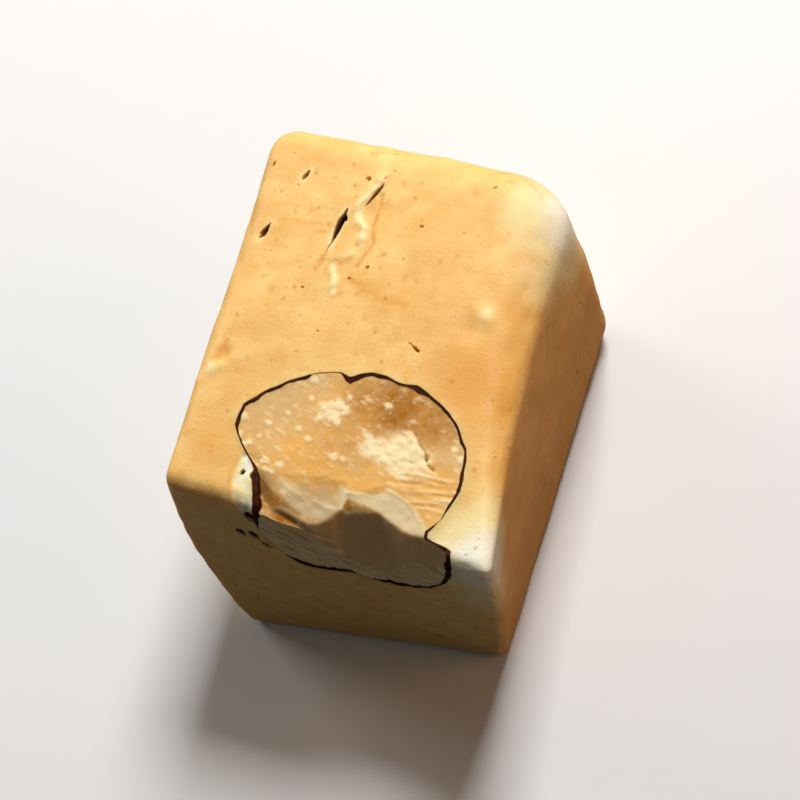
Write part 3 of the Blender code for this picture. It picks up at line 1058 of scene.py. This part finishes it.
# %% Where the kernel is torn, broken or glassy, with painted highlights
OCHRE_SPOTS = (
    (5.0, -6.2, 22.4, 3.9, 1.0), (8.2, -7.3, 22.3, 2.6, 0.8), (1.8, -6.2, 22.4, 2.6, 0.7),
    (4.6, -8.8, 22.3, 1.6, 0.5), (1.0, -9.5, 22.3, 3.5, 0.25),
)
GLASSY_SPOTS = (
    (-5.6, -7.4, 22.3, 3.4, 1.0), (-2.5, -5.6, 22.4, 1.6, 0.8), (10.2, -9.4, 22.2, 1.7, 0.8),
    (-7.2, -9.6, 22.2, 1.6, 0.6), (3.0, -4.4, 22.5, 1.2, 0.6), (9.5, -6.8, 22.3, 1.2, 0.5),
)
STREAK_TILT = 28
BREAK_BEGINS = -13.0


def ahead(name, width):
    """0 behind a facet's line, rising to 1 in front of it."""
    return unit(ahead_of(points, FACETS[name][0]) / width)


points = points_of(kernel)
white = np.maximum(discs(points, TORN_PATCH), discs(points, CRUMB_CLUSTER))
white = np.maximum(white, 0.9 * discs(points, SINGLE_CRUMBS))
white = np.maximum(white, 0.5 * dashes(points) * (points[:, 2] > 21))
mask, fibre = grooves(points)
white = np.maximum(white, mask * unit(fibre * 1.8))
ragged = unit(0.55 + 1.3 * ripple(points, 0.7, 38))
# painted highlight: the bright edges and ridges of the broken faces are painted white in the torn mask
for line, width in BRIGHT_LINES:
    gap = distance_to_line(points, line) / width + 0.5 * ripple(points, 0.5, 35)
    white = np.maximum(white, hill(np.maximum(gap, 0), 1) * ragged * (points[:, 2] > 20.5))
x, y, z = points.T
steep, hollow = ahead("break", 0.25), ahead("hollow", 0.2)
ledge = ahead("ledge", 0.2) * (1 - hollow) * (1 - steep) * unit((x - 1.4) / 0.9)
across, rising = turn(x, z, STREAK_TILT)
falling = np.stack((across, y, rising), axis=1)
streaks = unit(0.5 + 2.2 * ripple(falling, (2.6, 2.0, 0.45), 36))
streaks = streaks * np.clip(0.65 + 1.2 * ripple(points, 2.0, 39), 0.1, 1)
depth, facing = below_form(points)
on_front = (facing[:, 1] < -0.6) & (depth < 0.35) & (normals_of(kernel)[:, 1] < -0.5)
dark_streaks = np.clip(ripple(falling, (2.4, 2.0, 0.40), 37) * 3 - 0.35, 0, 0.55)
torn_front = (0.15 + 0.8 * streaks) * (1 - dark_streaks)
paint(kernel, "torn", np.where(on_front, torn_front, np.maximum(white, 0.55 * ledge)))

# %% The kernel's broken faces, with painted shade on their slopes
left_of_break = unit((2.9 - x) / 1.8)
fall = ahead("left fall", 0.7) * left_of_break
on_ledge = ahead("ledge", 0.2) * unit((x - 1.2) / 1.0)
level = np.maximum(0.95 * ahead("left face", 2.2) * left_of_break, on_ledge)
level = level * (1 - fall) * (1 - hollow) * (1 - steep)
# the falling slope and the hollow are painted brown: partly the nut's brown, partly painted shade
brown = np.maximum(0.95 * fall, 0.6 * hollow) * (1 - 0.6 * steep)
# at the left end it's painted browner the deeper it lies below the cut face: partly the nut's brown, partly
# painted shade
sunk = unit((cut_face_height(points) - z - 0.6) / 0.6)
left_end_shade = sunk * unit((0.2 - x) / 2.0)
broken = np.maximum(0.85 * level, 0.40 * steep) * (1 - left_end_shade)
broken = np.where(on_front, 0.6 * (1 - dark_streaks), broken)
near_edge = y < BREAK_BEGINS
paint(kernel, "broken", broken * near_edge)
# on the front face the dark streaks, elsewhere the painted brown shade of the broken slopes
brown = np.where(on_front, dark_streaks, np.maximum(0.8 * brown, left_end_shade)) * near_edge
paint(kernel, "ochre_and_shade", np.maximum(near_spots(points, OCHRE_SPOTS), brown))
paint(kernel, "glassy", near_spots(points, GLASSY_SPOTS))
print("painted", [a.name for a in kernel.data.attributes if a.data_type == "FLOAT"])

# %% The back kernel
points = points_of(back_kernel)
paint(back_kernel, "torn", 0.8 * smeared(points))
paint(back_kernel, "glassy", unit(0.5 + ripple(points, 2.6, 67)))
paint(back_kernel, "ochre_and_shade", 0.5 * unit((ripple(points, 2.2, 68) - 0.1) / 0.3))

# %% [markdown]
# ## Effects shared by the materials
# The knife's drag lines, the fine speckle and the soft clouding show on nougat and nut alike, each
# at its own size. Each is built once as a node group and put into a material with its own values.

# %% Helpers for nodes
def group_tree(name, outputs, **inputs):
    """An empty node group that takes a vector and some values, and gives values."""
    tree = bpy.data.node_groups.new(name, "ShaderNodeTree")
    tree.interface.new_socket("Vector", in_out="INPUT", socket_type="NodeSocketVector")
    for label, value in inputs.items():
        socket = tree.interface.new_socket(label, in_out="INPUT", socket_type="NodeSocketFloat")
        socket.default_value = value
    for label in outputs:
        tree.interface.new_socket(label, in_out="OUTPUT", socket_type="NodeSocketFloat")
    return tree, tree.nodes.new("NodeGroupInput").outputs, tree.nodes.new("NodeGroupOutput").inputs


def node(tree, kind, links=None, **values):
    """Adds a node. The links give what feeds each input, by the input's name or number."""
    made = tree.nodes.new("ShaderNode" + kind)
    for name, value in values.items():
        setattr(made, name, value)
    for name, value in (links or {}).items():
        if isinstance(value, bpy.types.NodeSocket):
            tree.links.new(value, made.inputs[name])
        else:
            made.inputs[name].default_value = value
    return made


def math_node(tree, operation, *values):
    return node(tree, "Math", dict(enumerate(values)), operation=operation).outputs[0]


def times(tree, first, second):
    return math_node(tree, "MULTIPLY", first, second)


def ramp(tree, value, low, high, start=0.0, end=1.0):
    """Maps low to start and high to end, smoothly and clamped."""
    made = node(tree, "MapRange", {0: value, 1: low, 2: high, 3: start, 4: end})
    made.interpolation_type = "SMOOTHSTEP"
    return made.outputs[0]


def mix(tree, share, first, second):
    made = node(tree, "Mix", data_type="RGBA")
    for number, value in ((0, share), (6, first), (7, second)):
        if isinstance(value, bpy.types.NodeSocket):
            tree.links.new(value, made.inputs[number])
        else:
            made.inputs[number].default_value = value if number == 0 else (*value, 1)
    return made.outputs[2]


def tint(tree, colour, mask, strength, hue):
    """Adds a hue to a colour where a mask is high."""
    return mix(tree, times(tree, mask, strength), colour, hue)


def noise_node(tree, vector, scale, detail, roughness=0.5):
    return node(tree, "TexNoise", {"Vector": vector, "Scale": scale, "Detail": detail,
                                   "Roughness": roughness}).outputs

# %% The knife's drag, the speckle and the clouding
drag, given, result = group_tree("knife drag", ["Height", "Lines"], Length=0.012, Gap=0.0006)
along, across = (math_node(drag, "DIVIDE", 1.0, given[name]) for name in ("Length", "Gap"))
stretch = node(drag, "CombineXYZ", {"X": along, "Y": across, "Z": across}).outputs[0]
place = node(drag, "VectorMath", {0: given["Vector"], 1: stretch}, operation="MULTIPLY").outputs[0]
drawn = noise_node(drag, place, 1.0, 3.0, 0.6)[0]
drag.links.new(drawn, result["Height"])
drag.links.new(ramp(drag, drawn, 0.56, 0.72), result["Lines"])

speckle, given, result = group_tree("speckle", ["Dots"], Size=0.0004, Share=0.3)
scale = math_node(speckle, "DIVIDE", 1.0, given["Size"])
warp = noise_node(speckle, given["Vector"], times(speckle, scale, 1.7), 2.0)["Color"]
shift = times(speckle, given["Size"], 0.9)
warped = node(speckle, "VectorMath", {0: warp, "Scale": shift}, operation="SCALE").outputs[0]
moved = node(speckle, "VectorMath", {0: given["Vector"], 1: warped}, operation="ADD").outputs[0]
cells = node(speckle, "TexVoronoi", {"Vector": moved, "Scale": scale}).outputs
shade = node(speckle, "SeparateColor", {0: cells["Color"]}).outputs
chosen = math_node(speckle, "LESS_THAN", shade[0], given["Share"])
size = math_node(speckle, "MULTIPLY_ADD", shade[1], 0.3, 0.12)
spot = ramp(speckle, math_node(speckle, "SUBTRACT", size, cells["Distance"]), 0.0, 0.12)
speckle.links.new(times(speckle, spot, chosen), result["Dots"])

clouding, given, result = group_tree("clouding", ["Cloud", "Fine"], Size=0.004)
scale = math_node(clouding, "DIVIDE", 1.0, given["Size"])
soft = noise_node(clouding, given["Vector"], scale, 5.0, 0.55)[0]
clouding.links.new(ramp(clouding, soft, 0.35, 0.68), result["Cloud"])
fine = noise_node(clouding, given["Vector"], times(clouding, scale, 9.0), 3.0, 0.6)[0]
clouding.links.new(fine, result["Fine"])


def use(tree, group, vector, **values):
    """Places a node group in a material."""
    made = tree.nodes.new("ShaderNodeGroup")
    made.node_tree = group
    tree.links.new(vector, made.inputs["Vector"])
    for name, value in values.items():
        made.inputs[name].default_value = value
    return made.outputs


def new_finish(name):
    """A material's tree, its shader's sockets and the pattern's vector on Object coordinates."""
    finish = bpy.data.materials.new(name)
    finish.use_nodes = True
    tree = finish.node_tree
    return finish, tree, tree.nodes["Principled BSDF"].inputs, node(tree, "TexCoord").outputs["Object"]


def set_shader(shader, **values):
    for name, value in values.items():
        shader[name.replace("_", " ")].default_value = value


def attribute(tree, name):
    return node(tree, "Attribute", attribute_name=name).outputs["Fac"]


def bump(tree, shader, height, strength, distance):
    made = node(tree, "Bump", {"Strength": strength, "Distance": distance, "Height": height})
    tree.links.new(made.outputs[0], shader["Normal"])


def dress(piece, finish):
    piece.data.materials.clear()
    piece.data.materials.append(finish)

# %% [markdown]
# ## The nougat's finish
# Nougat is egg white and honey syrup: cream all through, a little translucent, dull with a soft
# shine, dotted with air and browned sugar. The right edges are painted pale as a painted highlight,
# and the hollows are painted brown to black with depth as painted shade.

# %% The nougat's material
CREAM = (0.930, 0.640, 0.245)
CREAM_DEEP = (0.840, 0.480, 0.130)
TAN = (0.800, 0.420, 0.100)
GOLD = (0.770, 0.345, 0.045)
BUTTER = (0.970, 0.810, 0.430)
CHALK = (0.990, 0.945, 0.790)
HOLLOW_SHADE_BROWN = (0.270, 0.110, 0.022)
HOLLOW_SHADE_BLACK = (0.018, 0.005, 0.002)
SPECK_BROWN = (0.480, 0.170, 0.020)


def nougat_finish():
    finish, tree, shader, vector = new_finish("cream nougat")
    clouds = use(tree, clouding, vector, Size=0.006)
    patches = use(tree, clouding, vector, Size=0.0019)
    lines = use(tree, drag, vector, Length=0.011, Gap=0.0009)
    specks = use(tree, speckle, vector, Size=0.00065, Share=0.12)
    smudges = use(tree, speckle, vector, Size=0.0013, Share=0.35)
    pores = use(tree, speckle, vector, Size=0.00038, Share=0.30)
    pale, deep = attribute(tree, "pale"), attribute(tree, "deep")
    colour = tint(tree, CREAM, clouds["Cloud"], 0.55, CREAM_DEEP)
    colour = tint(tree, colour, patches["Cloud"], 0.65, CREAM_DEEP)
    colour = tint(tree, colour, smudges["Dots"], 0.55, TAN)
    # the golden mask also carries painted warm bounce light on the right face and painted shade along two
    # lines
    colour = tint(tree, colour, attribute(tree, "golden"), 0.9, GOLD)
    colour = tint(tree, colour, lines["Lines"], 0.11, GOLD)
    # the pale mask: pale nougat, and painted highlight on the right edges and along the torn ridges
    colour = mix(tree, ramp(tree, pale, 0.0, 0.65), colour, BUTTER)
    colour = mix(tree, ramp(tree, pale, 0.5, 1.0), colour, CHALK)
    colour = tint(tree, colour, specks["Dots"], 0.38, SPECK_BROWN)
    colour = tint(tree, colour, pores["Dots"], 0.10, CHALK)
    # painted shade in the hollows: brown, then black, the deeper they go
    colour = mix(tree, ramp(tree, deep, 0.0, 0.35), colour, HOLLOW_SHADE_BROWN)
    colour = mix(tree, ramp(tree, deep, 0.45, 0.95), colour, HOLLOW_SHADE_BLACK)
    tree.links.new(colour, shader["Base Color"])
    tree.links.new(ramp(tree, patches["Fine"], 0.3, 0.7, 0.46, 0.62), shader["Roughness"])
    height = math_node(tree, "MULTIPLY_ADD", patches["Fine"], 0.35, times(tree, lines["Height"], 0.4))
    height = math_node(tree, "SUBTRACT", height, times(tree, pores["Dots"], 0.3))
    bump(tree, shader, height, 0.6, 0.00012)
    set_shader(shader, Subsurface_Weight=0.35, Subsurface_Radius=(1.0, 0.5, 0.18),
               Subsurface_Scale=0.0018, IOR=1.45, Specular_IOR_Level=0.4)
    return finish


dress(nougat, nougat_finish())

# %% [markdown]
# ## The almond's finishes
# The kernel is ivory and a little waxy. Where the blade smeared it, it looks glassy and grey-gold,
# and where it tore, dry and white. The bright edges of its broken faces are painted white as painted
# highlight, and its broken slopes are painted brown, partly as painted shade. The skin is thin,
# fibrous and dark red-brown.

# %% The kernel's and the skin's materials
KERNEL = (0.850, 0.470, 0.120)
KERNEL_OCHRE_AND_SHADE = (0.410, 0.155, 0.005)
KERNEL_GLASSY = (0.710, 0.460, 0.200)
KERNEL_TORN = (0.980, 0.800, 0.480)
KERNEL_BROKEN = (0.800, 0.685, 0.450)
SKIN_DARK = (0.030, 0.007, 0.002)
SKIN_RED = (0.085, 0.020, 0.005)


def kernel_finish():
    finish, tree, shader, vector = new_finish("almond kernel")
    clouds = use(tree, clouding, vector, Size=0.0030)
    crumbs = use(tree, clouding, vector, Size=0.0008)
    specks = use(tree, speckle, vector, Size=0.0005, Share=0.25)
    torn, broken = attribute(tree, "torn"), attribute(tree, "broken")
    colour = tint(tree, KERNEL, clouds["Cloud"], 0.5, KERNEL_GLASSY)
    colour = mix(tree, attribute(tree, "glassy"), colour, KERNEL_GLASSY)
    # ochre patches, and painted shade on the broken slopes
    colour = mix(tree, attribute(tree, "ochre_and_shade"), colour, KERNEL_OCHRE_AND_SHADE)
    colour = tint(tree, colour, crumbs["Cloud"], 0.14, KERNEL_TORN)
    colour = mix(tree, broken, colour, KERNEL_BROKEN)
    colour = mix(tree, torn, colour, KERNEL_TORN)
    colour = tint(tree, colour, specks["Dots"], 0.2, KERNEL_TORN)
    tree.links.new(colour, shader["Base Color"])
    dry = ramp(tree, torn, 0.0, 1.0, 0.55, 0.68)
    smooth = ramp(tree, broken, 0.0, 1.0, 0.0, 0.22)
    tree.links.new(math_node(tree, "SUBTRACT", dry, smooth), shader["Roughness"])
    height = math_node(tree, "MULTIPLY_ADD", crumbs["Fine"], 0.8, specks["Dots"])
    bump(tree, shader, height, 0.45, 0.0001)
    set_shader(shader, Subsurface_Weight=0.25, Subsurface_Radius=(1.0, 0.6, 0.25),
               Subsurface_Scale=0.0010, IOR=1.47, Specular_IOR_Level=0.09)
    return finish


def skin_finish():
    finish, tree, shader, vector = new_finish("almond skin")
    clouds = use(tree, clouding, vector, Size=0.0014)
    fibres = use(tree, drag, vector, Length=0.003, Gap=0.00018)
    colour = mix(tree, clouds["Cloud"], SKIN_DARK, SKIN_RED)
    colour = tint(tree, colour, fibres["Lines"], 0.5, SKIN_DARK)
    tree.links.new(colour, shader["Base Color"])
    tree.links.new(ramp(tree, clouds["Fine"], 0.3, 0.7, 0.65, 0.85), shader["Roughness"])
    bump(tree, shader, fibres["Height"], 0.6, 0.00008)
    set_shader(shader, Specular_IOR_Level=0.08)
    return finish


ivory = kernel_finish()
brown_skin = skin_finish()
for piece in (kernel, back_kernel):
    dress(piece, ivory)
for piece in (skin, back_skin, scraps):
    dress(piece, brown_skin)

# %% [markdown]
# ## Setting the pieces on the frame
# The block has no moving parts, so every piece rides on the one body. The dressed pieces stand for
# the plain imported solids, which stay for the physics.

# %% Ride and replace
for piece in pieces:
    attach(piece, "root")
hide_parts("nougat_block")
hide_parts("almond_front")
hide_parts("almond_back")

# %% [markdown]
# ## Floor, light and camera
# The block stands on a plain pale floor. A soft lamp above and behind it lights the top and leaves
# the front in shade, as on a plate by a window. A weak warm fill, with painted warm bounce light on
# the right face, gives that face its golden brown, and a broad lamp keeps the left face readable. The
# camera looks down from the front right, and is tilted as a hand-held camera was.

# %% Floor and lamps
FLOOR_PALE = (0.80, 0.825, 0.865)
FLOOR_PALER = (0.82, 0.845, 0.885)
FLOOR_BOUNCE = (0.16, 0.155, 0.15)
ROOM_LIGHT = (1.0, 0.95, 0.87)
ROOM_STRENGTH = 0.075
bpy.context.scene.view_settings.view_transform = "Standard"


def add_floor():
    floor = add(bpy.ops.mesh.primitive_plane_add, "floor", size=3)
    finish, tree, shader, vector = new_finish("pale floor")
    clouds = use(tree, clouding, vector, Size=0.05)
    pale = mix(tree, clouds["Cloud"], FLOOR_PALE, FLOOR_PALER)
    # the camera sees the floor pale, but it throws little light back onto the block
    seen = node(tree, "LightPath").outputs["Is Camera Ray"]
    tree.links.new(mix(tree, seen, FLOOR_BOUNCE, pale), shader["Base Color"])
    set_shader(shader, Roughness=0.9)
    floor.data.materials.append(finish)


def add_lamp(name, place, target, size, power, colour):
    lamp = bpy.data.lights.new(name, "AREA")
    lamp.size = size
    lamp.energy = power
    lamp.color = colour
    holder = bpy.data.objects.new(name, lamp)
    bpy.context.scene.collection.objects.link(holder)
    holder.location = place
    aim = Vector(target) - Vector(place)
    holder.rotation_euler = aim.to_track_quat("-Z", "Y").to_euler()
    return holder


add_floor()
add_lamp("key lamp", (0.03, 0.30, 0.37), (0, 0, 0.01), 0.16, 2.5, (1.0, 0.975, 0.93))
add_lamp("left lamp", (-0.40, 0.18, 0.13), (0, 0, 0.012), 0.20, 0.8, (1.0, 0.94, 0.84))
add_lamp("warm fill", (0.30, 0.05, 0.16), (0, 0, 0.014), 0.16, 0.17, (1.0, 0.38, 0.04))
world = bpy.data.worlds.new("soft room")
world.use_nodes = True
background = world.node_tree.nodes["Background"].inputs
background["Color"].default_value = (*ROOM_LIGHT, 1)
background["Strength"].default_value = ROOM_STRENGTH
bpy.context.scene.world = world

# %% The camera
CAMERA_AT = Vector((92.54, -100.86, 243.12)) * MM
CAMERA_AIM = Vector((0.3, -0.6, 11.0)) * MM
ROLL = math.radians(-30.21)
LENS = 137.25

lens_data = bpy.data.cameras.new("camera")
lens_data.lens = LENS
lens_data.sensor_width = 36
lens_data.clip_start = 0.01
camera = bpy.data.objects.new("camera", lens_data)
bpy.context.scene.collection.objects.link(camera)
camera.location = CAMERA_AT
level = (CAMERA_AIM - CAMERA_AT).to_track_quat("-Z", "Y")
camera.rotation_euler = (level @ Quaternion((0, 0, 1), ROLL)).to_euler()
bpy.context.scene.camera = camera
